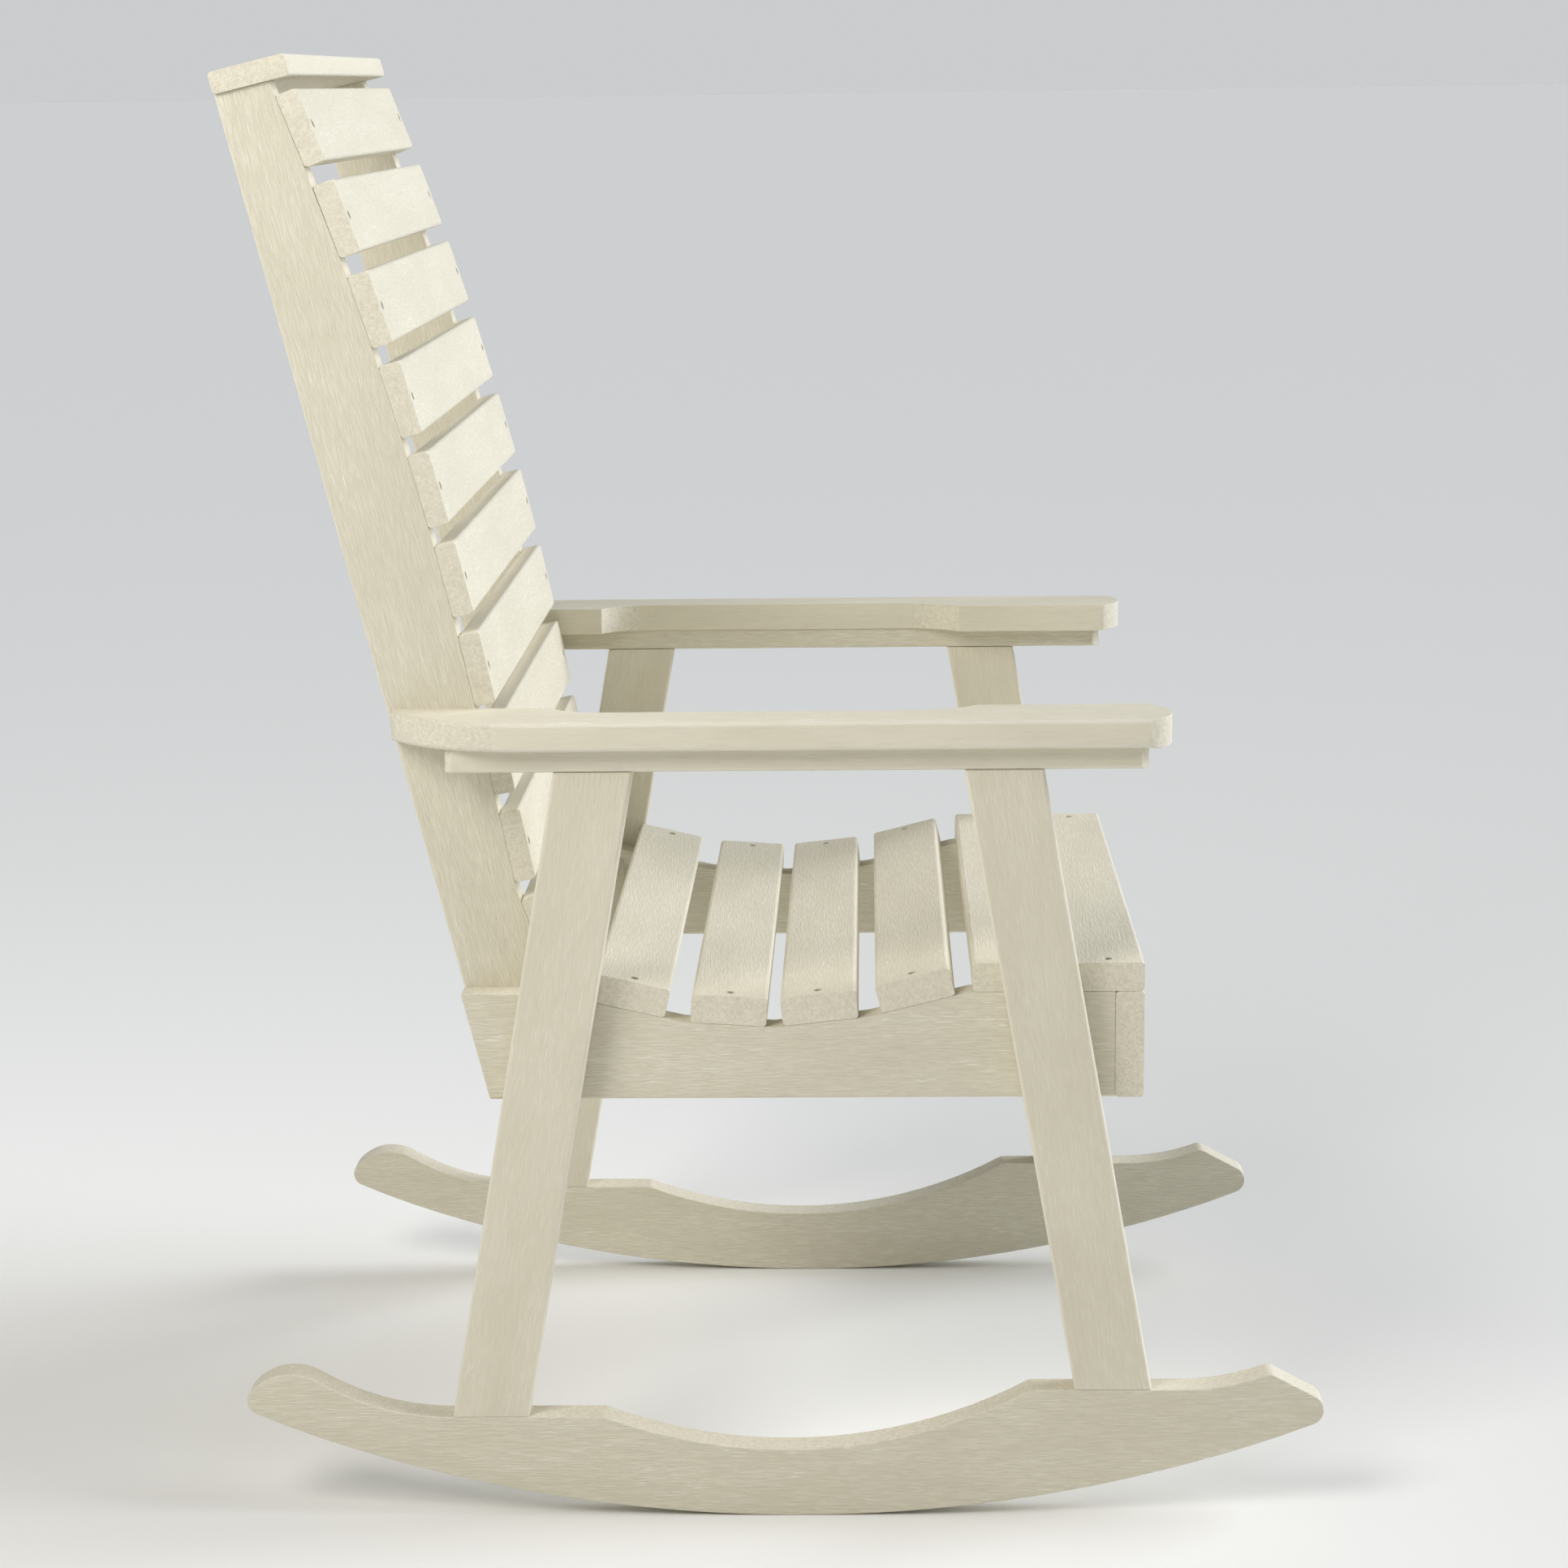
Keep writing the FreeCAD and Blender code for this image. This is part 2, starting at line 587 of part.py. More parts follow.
def make_back_slat(number):
    """A slat across the back, on its own flat of the stiles' front edges."""
    upper_y, upper_z = stile_corner(number - 1)
    lower_y, lower_z = stile_corner(number)
    lean = f"atan2({upper_y} - {lower_y}; {upper_z} - {lower_z})"
    y = f"{lower_y} + {SLAT_PITCH} / 2 * sin({lean})"
    z = f"{lower_z} + {SLAT_PITCH} / 2 * cos({lean})"
    name = f"back_slat_{number}"
    cross_board(name, "back_slat_width", "back_slat_thickness", f"2 * {RAIL_INNER}", y, z,
                f"90 deg - {lean}")
    turn = math.radians(value(lean))
    forward = FreeCAD.Vector(0, -math.cos(turn), math.sin(turn))
    face = FreeCAD.Vector(0, value(y), value(z)) + forward * size("back_slat_thickness")
    for side, sign in SIDES.items():
        end = FreeCAD.Vector(sign * value(f"{RAIL_INNER} - stile_thickness / 2"), 0, 0)
        screw("back_slat_screws", (name, f"{side}_back_stile"), face + end, -forward,
              "slat_screw_length")


def make_cap():
    """The cap lies square on the stiles' tops, from their rear edges to the top slat's face."""
    width = f"(stile_width * {STILE_WIDTH_SHARES[0]} + back_slat_thickness)"
    y, z = up_the_stile("stile_length", f"{width} / 2")
    cross_board("top_cap", width, "back_slat_thickness", f"2 * ({RAIL_INNER} + cap_overhang)",
                y, z, "-back_lean")
    turn = math.radians(size("back_lean"))
    upward = FreeCAD.Vector(0, math.sin(turn), math.cos(turn))
    forward = FreeCAD.Vector(0, -math.cos(turn), math.sin(turn))
    stile_y, stile_z = up_the_stile("stile_length", f"stile_width * {STILE_WIDTH_SHARES[0]} / 2")
    for side, sign in SIDES.items():
        across = sign * value(f"{RAIL_INNER} - stile_thickness / 2")
        middle = FreeCAD.Vector(across, value(stile_y), value(stile_z))
        top = middle + upward * size("back_slat_thickness")
        for step in (-0.5, 0.5):
            mouth = top + forward * (step * size("cap_screw_spacing"))
            screw("cap_screws", ("top_cap", f"{side}_back_stile"), mouth, -upward,
                  "slat_screw_length")


# Screws of the frame

def leg_place(end, height):
    """Y of the leg's middle line at a height."""
    if end == "rear":
        return size("rear_foot_place") - (height - size("rear_seat_height")) * math.tan(
            math.radians(size("rear_leg_lean")))
    return -size("front_foot_place") + (height - size("front_seat_height")) * math.tan(
        math.radians(size("front_leg_lean")))


def rocker_underside(y):
    reach = y + size("rocker_low_place")
    return value(RUNNING_CENTRE) - math.sqrt(size("rocker_radius") ** 2 - reach ** 2)


def screw_legs(side, sign):
    """Up through the rocker into each foot, and down through the arm rail into each top."""
    x = sign * value(f"{HALF_WIDTH} - leg_thickness / 2")
    step = size("leg_screw_spacing") / 2
    up = FreeCAD.Vector(0, 0, 1)
    for end, foot_height in (("rear", "rear_seat_height"), ("front", "front_seat_height")):
        leg = f"{side}_{end}_leg"
        for offset in (-step, step):
            foot_y = leg_place(end, size(foot_height)) + offset
            mouth = FreeCAD.Vector(x, foot_y, rocker_underside(foot_y))
            screw("rocker_screws", (f"{side}_rocker", leg), mouth, up,
                  "foot_screw_length", "foot_screw_sunk_depth")
            top = FreeCAD.Vector(x, leg_place(end, size("leg_top_height")) + offset, value(ARM_BOTTOM))
            screw("leg_top_screws", (f"{side}_arm_rail", leg), top, -up, "frame_screw_length")


def screw_arm(side, sign):
    """Up through the arm rail into the armrest, and through the stile into its inner edge."""
    x = sign * value(f"{HALF_WIDTH} - leg_thickness / 2")
    up = FreeCAD.Vector(0, 0, 1)
    middle = (leg_place("rear", size("leg_top_height")) + leg_place("front", size("leg_top_height"))) / 2
    for step in (-0.5, 0.5):
        mouth = FreeCAD.Vector(x, middle + step * size("arm_screw_spacing"), size("leg_top_height"))
        screw("arm_screws", (f"{side}_arm_rail", f"{side}_armrest"), mouth, up,
              "arm_rail_height + arm_thickness / 2")
    height = value(f"{ARM_BOTTOM} + arm_thickness / 2")
    rear_edge = value("stile_foot_place") + (height - size("rail_bottom_height")) * math.tan(
        math.radians(size("back_lean")))
    mouth = FreeCAD.Vector(sign * value(STILE_INNER), rear_edge - size("stile_width") / 2, height)
    screw("stile_arm_screws", (f"{side}_back_stile", f"{side}_armrest"), mouth,
          FreeCAD.Vector(sign, 0, 0), "frame_screw_length")


def screw_seat_frame(side, sign):
    """The rail to its legs and stile, and the apron and the cross rail to the rail."""
    outward = FreeCAD.Vector(sign, 0, 0)
    rail = f"{side}_seat_rail"
    middle = value("rail_bottom_height + rail_height / 2")
    for step in (-0.5, 0.5):
        height = middle + step * size("rail_screw_spacing")
        front_leg = leg_place("front", height)
        screw("front_leg_screws", (rail, f"{side}_front_leg"),
              FreeCAD.Vector(sign * value(RAIL_INNER), front_leg, height), outward, "frame_screw_length")
        stile_y = value(f"{STILE_FRONT} + frame_screw_inset")
        screw("rear_leg_screws", (f"{side}_back_stile", rail, f"{side}_rear_leg"),
              FreeCAD.Vector(sign * value(STILE_INNER), stile_y, height), outward, "long_screw_length")
        apron_x = sign * value(f"{RAIL_OUTER} - rail_thickness / 2")
        screw("apron_screws", ("front_apron", rail),
              FreeCAD.Vector(apron_x, -size("seat_front_place"), height), FreeCAD.Vector(0, 1, 0),
              "slat_screw_length")
        cross_middle = value("rail_bottom_height + cross_rail_height / 2")
        cross_height = cross_middle + step * size("rail_screw_spacing")
        cross_y = value(f"{STILE_FRONT} - apron_thickness / 2")
        screw("cross_rail_screws", (rail, "rear_cross_rail"),
              FreeCAD.Vector(sign * value(RAIL_OUTER), cross_y, cross_height), -outward,
              "slat_screw_length")


def finish_boards():
    """Each drilled board is its solid less the holes of its screws, under the board's own name."""
    for label, body in boards.items():
        drills = doc.addObject("Part::Compound", label + "_drills")
        drills.Links = holes[label]
        cut = doc.addObject("Part::Cut", label)
        cut.Base = body
        cut.Tool = drills
        cut.Label = label
    for group, members in fasteners.items():
        bundle = doc.addObject("Part::Compound", group)
        bundle.Links = members
        bundle.Label = group


def check_and_export():
    doc.recompute()
    for item in doc.Objects:
        if "Invalid" in item.State or "Error" in item.State:
            raise RuntimeError(f"{item.Name} did not build: {item.State}")
    os.makedirs("parts", exist_ok=True)
    for label in list(boards) + list(fasteners):
        shape = doc.getObject(label).Shape
        if shape.isNull() or not shape.isValid():
            raise RuntimeError(f"{label} has no valid shape")
        if label in boards:
            shape = shape.Solids[0]
        shape.exportStep(f"parts/{label}.step")


fill_sheet()
for side_name in SIDES:
    make_rocker(side_name)
    make_leg(side_name, "rear")
    make_leg(side_name, "front")
    make_arm_rail(side_name)
    make_armrest(side_name)
    make_seat_rail(side_name)
    make_stile(side_name)
make_apron()
make_cross_rail()
make_seat_slats()
for slat_number in range(1, BACK_SLAT_COUNT + 1):
    make_back_slat(slat_number)
make_cap()
for side_name, side_sign in SIDES.items():
    screw_legs(side_name, side_sign)
    screw_arm(side_name, side_sign)
    screw_seat_frame(side_name, side_sign)
finish_boards()
check_and_export()
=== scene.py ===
import math
import random

import bmesh
import bpy
import numpy
from mathutils import Matrix, Vector


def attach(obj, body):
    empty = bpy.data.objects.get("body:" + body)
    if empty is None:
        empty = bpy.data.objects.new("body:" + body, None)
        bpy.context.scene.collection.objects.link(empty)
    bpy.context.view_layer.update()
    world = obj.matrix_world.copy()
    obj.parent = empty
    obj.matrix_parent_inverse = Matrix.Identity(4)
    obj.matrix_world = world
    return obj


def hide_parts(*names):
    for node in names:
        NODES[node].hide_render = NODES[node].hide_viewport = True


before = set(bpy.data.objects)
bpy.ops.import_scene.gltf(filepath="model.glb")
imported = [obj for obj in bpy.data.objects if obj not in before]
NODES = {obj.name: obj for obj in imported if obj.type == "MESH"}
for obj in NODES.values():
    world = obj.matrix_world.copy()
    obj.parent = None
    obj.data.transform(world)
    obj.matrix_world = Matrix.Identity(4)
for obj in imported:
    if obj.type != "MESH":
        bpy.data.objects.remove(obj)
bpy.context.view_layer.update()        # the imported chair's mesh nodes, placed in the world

# An outdoor rocking chair in off-white plastic lumber, in metres.
# Each board is the imported board with its saw cuts eased and its grain laid along its length.

SCREW_GROUPS = sorted(name for name in NODES if name.endswith("_screws"))
BOARDS = sorted(name for name in NODES if not name.endswith("_screws"))

# Boards
WELD_DISTANCE = 0.000002
FLAT_ANGLE = math.radians(0.3)
EASED_CUT = 0.0007
EASED_CUT_STEPS = 2
ROUND_PROFILE = 0.5
CUT_CORNER_ANGLE = math.radians(50)
SMOOTH_ANGLE = math.radians(38)
END_CUT_TURN = 0.12      # how far a face must look along the board to be a saw cut
WIDE_FACE_TURN = 0.75    # how far a face must look through the board to be a wide face

# Rockers' underside
RUNNING_RADIUS = 1.070
RUNNING_LOW_PLACE = -0.012
STANDING_FLAT = 0.210
FLAT_EDGE = 0.150        # of the level edges, only those along the flat are longer than this
LEVEL_WITHIN = WELD_DISTANCE * 10
FLAT_CUTS = 9
FAIRED_RADIUS = 1.1416
FAIRED_REACH = 0.40      # how far the faired sweep runs to the front and to the rear
UNDERSIDE_BAND = 0.0013  # what lies less than this above the running curve is underside

# Screws, with their sizes under the names that they have as inputs of the screws' tree
SCREW_SIZES = {
    "Head radius": 0.0029,
    "Head height": 0.0026,
    "Drive width": 0.0024,
    "Drive depth": 0.0013,
    "Shank radius": 0.0019,
}
LENGTH_INPUT = "Screw length"
HEAD_TOP_SHARE = 0.9     # how much of the head's radius is left at its flat top
TIP_RADIUS = 0.0004
HEAD_SIDES = 28
SHANK_SIDES = 16
SCREW_END_REACH = 0.001  # points this near to an end of a packed screw show how wide that end is

# Grain, with the cells of each pattern counted a metre along, across and through the board
GRAIN_SHIFT = 3.0        # boards are cut from places up to this far apart in the same grain
GRAIN_DEPTHS = {"_leg": 0.75, "_slat_": 1.0}
DEEP_GRAIN = 1.3         # the depth on all the other boards
WANDER = {"cells": (38.0, 120.0, 120.0)}
RIPPLES = {"cells": (62.0, 820.0, 820.0), "distortion": 0.1}
STREAKS = {"cells": (48.0, 1150.0, 1150.0), "detail": 1.0}
SPECKS = {"cells": (1700.0, 1700.0, 1700.0), "detail": 1.0}
CLOUDS = {"cells": (7.0, 26.0, 26.0), "detail": 3.0, "roughness": 0.55}
NOISE_MIDDLE = 0.5
SWAY = 0.0024            # how far the grain wanders to the side
MOULDED_RELIEF = 0.00020

# Where each pattern, or a face's turn to the wide side, starts to count and where it counts in full
WHOLE = (0.0, 1.0)
WIDE_SPAN = (0.2, 0.95)
RIPPLE_SPAN = (0.32, 0.66)
STREAK_SPAN = (0.60, 0.72)
SPECK_SPAN = (0.58, 0.72)
CLOUD_SPAN = (0.3, 0.7)
SCUFF_SPAN = (0.42, 0.62)
OFF_EDGE_SPAN = (0.08, 0.5)
OFF_WIDE_SPAN = (0.6, 0.98)

# How much each part of the moulded finish adds to its height, colour or roughness
RIPPLE_HEIGHTS = (0.16, 1.0)             # on narrow faces and on wide ones
STREAK_HEIGHT = 0.5
SPECK_HEIGHT = 0.16
GROOVE_SHADE_SHARES = (0.05, 0.42)             # painted shade in the grain's grooves, on narrow faces and on wide ones
SCUFF_SHARES = (0.25, 0.8)               # where the clouds are dark and where they are pale
SPECK_SHARE = 0.28
EDGE_HIGHLIGHT_SHARE = 0.45                      # painted highlight on the rounded edges
GROOVE_TO_RIDGE_ROUGHNESS = (0.62, 0.50)
EDGE_GLOSS = 0.10

# Colours of the moulded faces
MOULDED_DARK = (0.690, 0.645, 0.506, 1)
MOULDED_PALE = (0.735, 0.692, 0.550, 1)
# painted shade for the grain's grooves
GROOVE_SHADE_COLOR = (0.60, 0.555, 0.425, 1)
SCUFF_COLOR = (0.86, 0.83, 0.72, 1)
SPECK_COLOR = (0.80, 0.765, 0.665, 1)
# painted highlight for the rounded edges
EDGE_HIGHLIGHT_COLOR = (0.81, 0.775, 0.675, 1)

# Sawn faces
SAWN_CLOUDS = {"cells": (60.0, 60.0, 60.0)}
MOTTLE = {"cells": (330.0, 330.0, 330.0), "detail": 3.0, "roughness": 0.6, "distortion": 0.8}
GRIT = {"cells": (1300.0, 1300.0, 1300.0), "roughness": 0.6}
PIT_CELLS = (760.0, 760.0, 760.0)
PIT_EDGE = (0.10, 0.30)
PITTED_SPAN = (0.48, 0.60)
MOTTLE_SPAN = (0.36, 0.66)
GRIT_SPAN = (0.48, 0.72)
GRIT_SHARE = 0.42
PIT_SHADE_SHARE = 0.45
GRIT_HEIGHT = 0.5
MOTTLE_HEIGHT = 0.6
SAWN_RELIEF = 0.00022
SAWN_ROUGHNESS = 0.68
SAWN_DARK = (0.640, 0.595, 0.460, 1)
SAWN_PALE = (0.740, 0.698, 0.570, 1)
GRIT_COLOR = (0.88, 0.85, 0.75, 1)
# painted shade for the pits
PIT_SHADE_COLOR = (0.50, 0.45, 0.33, 1)

# Steel
HAZE = {"cells": (900.0, 900.0, 900.0), "detail": 3.0, "roughness": 0.6}
HAZE_SPAN = (0.3, 0.7)
STEEL_ROUGHNESS = (0.28, 0.46)
STEEL_RELIEF = 0.00004
STEEL_DARK = (0.30, 0.285, 0.26, 1)
STEEL_PALE = (0.50, 0.48, 0.45, 1)

# Camera, with its angles in radians
CAMERA_PLACE = (-2.7968, -0.07442, 1.12758)
CAMERA_PITCH = 0.20726831
CAMERA_YAW = -0.0269414
CAMERA_ROLL = 0.0122979
FILM_WIDTH_MM = 36.0
PICTURE_WIDTH_PX = 1932.0
LENS_LENGTH_PX = 4100.0

# Room, where each span is of how far a look goes up, or across from this side to the far one
EYE_LEVEL_SPAN = (0.05, 0.2)
WALL_TOP_SPAN = (0.15, 0.5)
NEAR_TO_FAR_SPAN = (-0.7, 0.1)
EYE_LEVEL_GLOW = 0.615
NEAR_TO_FAR_GLOW = (0.05, 0.60)
CEILING_GLOW = 0.24
ROOM_COLOR = (0.970, 0.992, 1.0, 1)
FLOOR_REACH = 400.0
FLOOR_COLOR = (0.845, 0.84, 0.805, 1)

# Lights
SEAT_MIDDLE = Vector((0, 0, 0.6))
FRONT_LIGHT_WAY = Vector((0.14, -0.80, 0.48))
FRONT_LIGHT_DISTANCE = 4
FRONT_LIGHT_POWER = 3.12
FRONT_LIGHT_SPREAD = math.radians(45)
FRONT_LIGHT_COLOR = (0.935, 0.965, 1.045)
SIDE_LIGHT_PLACE = Vector((-1.65, 1.25, 2.15))
SIDE_LIGHT_POWER = 37.5
SIDE_LIGHT_WIDTH = 1.2
SIDE_LIGHT_COLOR = (1.0, 0.968, 0.94)


def linked(name, data):
    """A new object that shows the mesh, lamp or lens."""
    piece = bpy.data.objects.new(name, data)
    bpy.context.collection.objects.link(piece)
    return piece


# Boards

def welded(name):
    """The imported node's loose triangles joined into one closed mesh with whole flat faces."""
    loose = NODES[name].data
    work = bmesh.new()
    corners = [work.verts.new(vertex.co) for vertex in loose.vertices]
    for polygon in loose.polygons:
        work.faces.new([corners[index] for index in polygon.vertices])
    bmesh.ops.remove_doubles(work, verts=work.verts, dist=WELD_DISTANCE)
    bmesh.ops.dissolve_limit(work, angle_limit=FLAT_ANGLE, verts=work.verts, edges=work.edges)
    work.normal_update()
    return work


def board_directions(work):
    """The ways that the board's length, width and thickness run, read from its widest face."""
    widest = max(work.faces, key=lambda face: face.calc_area())
    longest = max(widest.edges, key=lambda edge: edge.calc_length())
    along = (longest.verts[1].co - longest.verts[0].co).normalized()
    through = widest.normal.copy()
    return along, through.cross(along).normalized(), through


def is_sawn(name, normal, along, through):
    """Whether a face with that normal was cut by the saw, and not left by the mould."""
    if abs(normal.dot(through)) > WIDE_FACE_TURN:
        return False
    if name.endswith("_rocker"):
        return True
    if name.endswith("_seat_rail") and normal.z > END_CUT_TURN:
        return True
    return abs(normal.dot(along)) > END_CUT_TURN


def underside_edges(work):
    """The edges that run along the rocker's standing flat, with those of its eased corners."""
    def on_the_flat(edge):
        ends = [vertex.co for vertex in edge.verts]
        level = abs(ends[0].z - ends[1].z) < LEVEL_WITHIN
        return level and abs(ends[0].y - ends[1].y) > FLAT_EDGE and ends[0].z < UNDERSIDE_BAND

    return [edge for edge in work.edges if on_the_flat(edge)]


def packed_rise(y):
    """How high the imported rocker's underside is, that far from its lowest line."""
    center_height = math.sqrt(RUNNING_RADIUS ** 2 - (STANDING_FLAT / 2) ** 2)
    return max(0.0, center_height - math.sqrt(RUNNING_RADIUS ** 2 - y ** 2))


def faired_rise(y):
    """How high one even sweep through the same lowest line is there."""
    return FAIRED_RADIUS - math.sqrt(FAIRED_RADIUS ** 2 - y ** 2)


def round_underside(work):
    """Fairs the rocker's underside into one sweep where the solid has its short standing flat."""
    bmesh.ops.subdivide_edges(work, edges=underside_edges(work), cuts=FLAT_CUTS,
                              use_grid_fill=True)
    for vertex in work.verts:
        y = vertex.co.y - RUNNING_LOW_PLACE
        if abs(y) < FAIRED_REACH and vertex.co.z - packed_rise(y) < UNDERSIDE_BAND:
            vertex.co.z += faired_rise(y) - packed_rise(y)
    work.normal_update()


def ease_cuts(work, name, along, through):
    """Takes the sharpness off the corners that the saw left. The rockers' are round already."""
    def at_a_cut(edge):
        if len(edge.link_faces) != 2 or edge.calc_face_angle() < CUT_CORNER_ANGLE:
            return False
        return any(is_sawn(name, face.normal, along, through) for face in edge.link_faces)

    edges = [edge for edge in work.edges if at_a_cut(edge)]
    bmesh.ops.bevel(work, geom=edges, offset=EASED_CUT, segments=EASED_CUT_STEPS,
                    profile=ROUND_PROFILE, affect="EDGES", clamp_overlap=False)
    work.normal_update()


def grain_depth(name):
    """The legs are the smoothest boards, and the rails and rockers have the deepest grain."""
    return next((depth for kind, depth in GRAIN_DEPTHS.items() if kind in name), DEEP_GRAIN)


def lay_grain(mesh, name, along, across, through):
    """Stores each point's place on its board, and how squarely each face looks through it."""
    shift = random.Random(name).uniform(0, GRAIN_SHIFT)
    places = mesh.attributes.new("board_place", "FLOAT_VECTOR", "POINT")
    for vertex, place in zip(mesh.vertices, places.data):
        point = vertex.co
        place.vector = (point.dot(along) + shift, point.dot(across) + shift, point.dot(through))
    turns = mesh.attributes.new("wide_face", "FLOAT", "FACE")
    depths = mesh.attributes.new("grain_depth", "FLOAT", "FACE")
    for polygon, turn, depth in zip(mesh.polygons, turns.data, depths.data):
        turn.value = abs(polygon.normal.dot(through))
        depth.value = grain_depth(name)
        polygon.material_index = int(is_sawn(name, polygon.normal, along, through))


def finished_board(name, moulded, sawn):
    """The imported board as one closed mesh, finished by face as the mould or the saw left it."""
    work = welded(name)
    along, across, through = board_directions(work)
    if name.endswith("_rocker"):
        round_underside(work)
    else:
        ease_cuts(work, name, along, through)
    mesh = bpy.data.meshes.new(f"{name}_board")
    work.to_mesh(mesh)
    work.free()
    mesh.materials.append(moulded)
    mesh.materials.append(sawn)
    lay_grain(mesh, name, along, across, through)
    mesh.shade_smooth()
    mesh.set_sharp_from_angle(angle=SMOOTH_ANGLE)
    board = linked(f"{name}_board", mesh)
    even = board.modifiers.new("even_normals", "WEIGHTED_NORMAL")
    even.keep_sharp = True
    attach(board, "root")
    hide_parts(name)


# Node trees, for the screws' shape and for the finishes

def tree_node(tree, kind, values=(), **settings):
    """Adds a node. Each value is a socket's name and its number, or the socket that feeds it."""
    node = tree.nodes.new(kind)
    for setting, choice in settings.items():
        setattr(node, setting, choice)
    for socket, value in values:
        if isinstance(value, bpy.types.NodeSocket):
            tree.links.new(value, node.inputs[socket])
        else:
            node.inputs[socket].default_value = value
    return node


def calculated(tree, operation, first, second):
    return tree_node(tree, "ShaderNodeMath", [(0, first), (1, second)],
                     operation=operation).outputs[0]


def times(tree, first, second):
    return calculated(tree, "MULTIPLY", first, second)


def plus(tree, first, second):
    return calculated(tree, "ADD", first, second)


def minus(tree, first, second):
    return calculated(tree, "SUBTRACT", first, second)


def vector_of(tree, **parts):
    return tree_node(tree, "ShaderNodeCombineXYZ", parts.items()).outputs[0]


def ranged(tree, value, span, result=WHOLE):
    """Eases the value from the span's low and high ends to those of the result."""
    return tree_node(tree, "ShaderNodeMapRange", [
        ("Value", value), ("From Min", span[0]), ("From Max", span[1]),
        ("To Min", result[0]), ("To Max", result[1])], interpolation_type="SMOOTHSTEP").outputs[0]


def mixed(tree, share, first, second):
    """A number on the way from the first to the second."""
    return tree_node(tree, "ShaderNodeMix", [(0, share), (2, first), (3, second)],
                     data_type="FLOAT").outputs[0]


def blended(tree, share, first, second):
    """A colour on the way from the first to the second."""
    return tree_node(tree, "ShaderNodeMix", [(0, share), (6, first), (7, second)],
                     data_type="RGBA").outputs[2]


# Screws

def one_screw(start, left):
    """Takes the points of the screw that the start is on from those that are left."""
    left.remove(start)
    screw, to_visit = [], [start]
    while to_visit:
        vertex = to_visit.pop()
        screw.append(vertex.co)
        for edge in vertex.link_edges:
            other = edge.other_vert(vertex)
            if other in left:
                left.remove(other)
                to_visit.append(other)
    return screw


def screw_line(points):
    """The middle of the head's top, the way it faces and the length, read from a screw's points."""
    cloud = numpy.array([tuple(point) for point in points])
    middle = (cloud.min(axis=0) + cloud.max(axis=0)) / 2
    line = numpy.linalg.svd(cloud - cloud.mean(axis=0), full_matrices=False)[2][0]
    run = (cloud - middle) @ line
    spread = numpy.linalg.norm(cloud - middle - numpy.outer(run, line), axis=1)
    top_radius = spread[run > run.max() - SCREW_END_REACH].max()
    tip_radius = spread[run < run.min() + SCREW_END_REACH].max()
    if top_radius < tip_radius:
        line, run = -line, -run
    head = middle + line * run.max()
    return Vector(head), Vector(line), float(run.max() - run.min())


def screw_places(name):
    """The line of each packed screw of the group, in order of place."""
    work = welded(name)
    left = set(work.verts)
    places = []
    for start in work.verts:
        if start in left:
            places.append(screw_line(one_screw(start, left)))
    work.free()
    return sorted(places, key=lambda place: tuple(place[0]))


def screw_head(tree, given, neck):
    """A head that narrows a little to its flat top, with a square recess for the driver."""
    top_radius = times(tree, given["Head radius"], HEAD_TOP_SHARE)
    head = tree_node(tree, "GeometryNodeMeshCone", [
        ("Vertices", HEAD_SIDES), ("Radius Top", top_radius),
        ("Radius Bottom", given["Head radius"]), ("Depth", given["Head height"])]).outputs["Mesh"]
    head = tree_node(tree, "GeometryNodeTransform", [
        ("Geometry", head), ("Translation", neck)]).outputs[0]
    # The block that cuts the recess has its middle at the head's top
    block_height = times(tree, given["Drive depth"], 2.0)
    block_size = vector_of(tree, X=given["Drive width"], Y=given["Drive width"], Z=block_height)
    block = tree_node(tree, "GeometryNodeMeshCube", [("Size", block_size)]).outputs["Mesh"]
    return tree_node(tree, "GeometryNodeMeshBoolean", [("Mesh 1", head), ("Mesh 2", block)],
                     operation="DIFFERENCE").outputs["Mesh"]


def screw_shank(tree, given, neck):
    """A plain shank that tapers from the neck down to its tip."""
    length = minus(tree, given[LENGTH_INPUT], given["Head height"])
    shank = tree_node(tree, "GeometryNodeMeshCone", [
        ("Vertices", SHANK_SIDES), ("Radius Top", TIP_RADIUS),
        ("Radius Bottom", given["Shank radius"]), ("Depth", length)]).outputs["Mesh"]
    return tree_node(tree, "GeometryNodeTransform", [
        ("Geometry", shank), ("Translation", neck), ("Rotation", (math.pi, 0, 0))]).outputs[0]


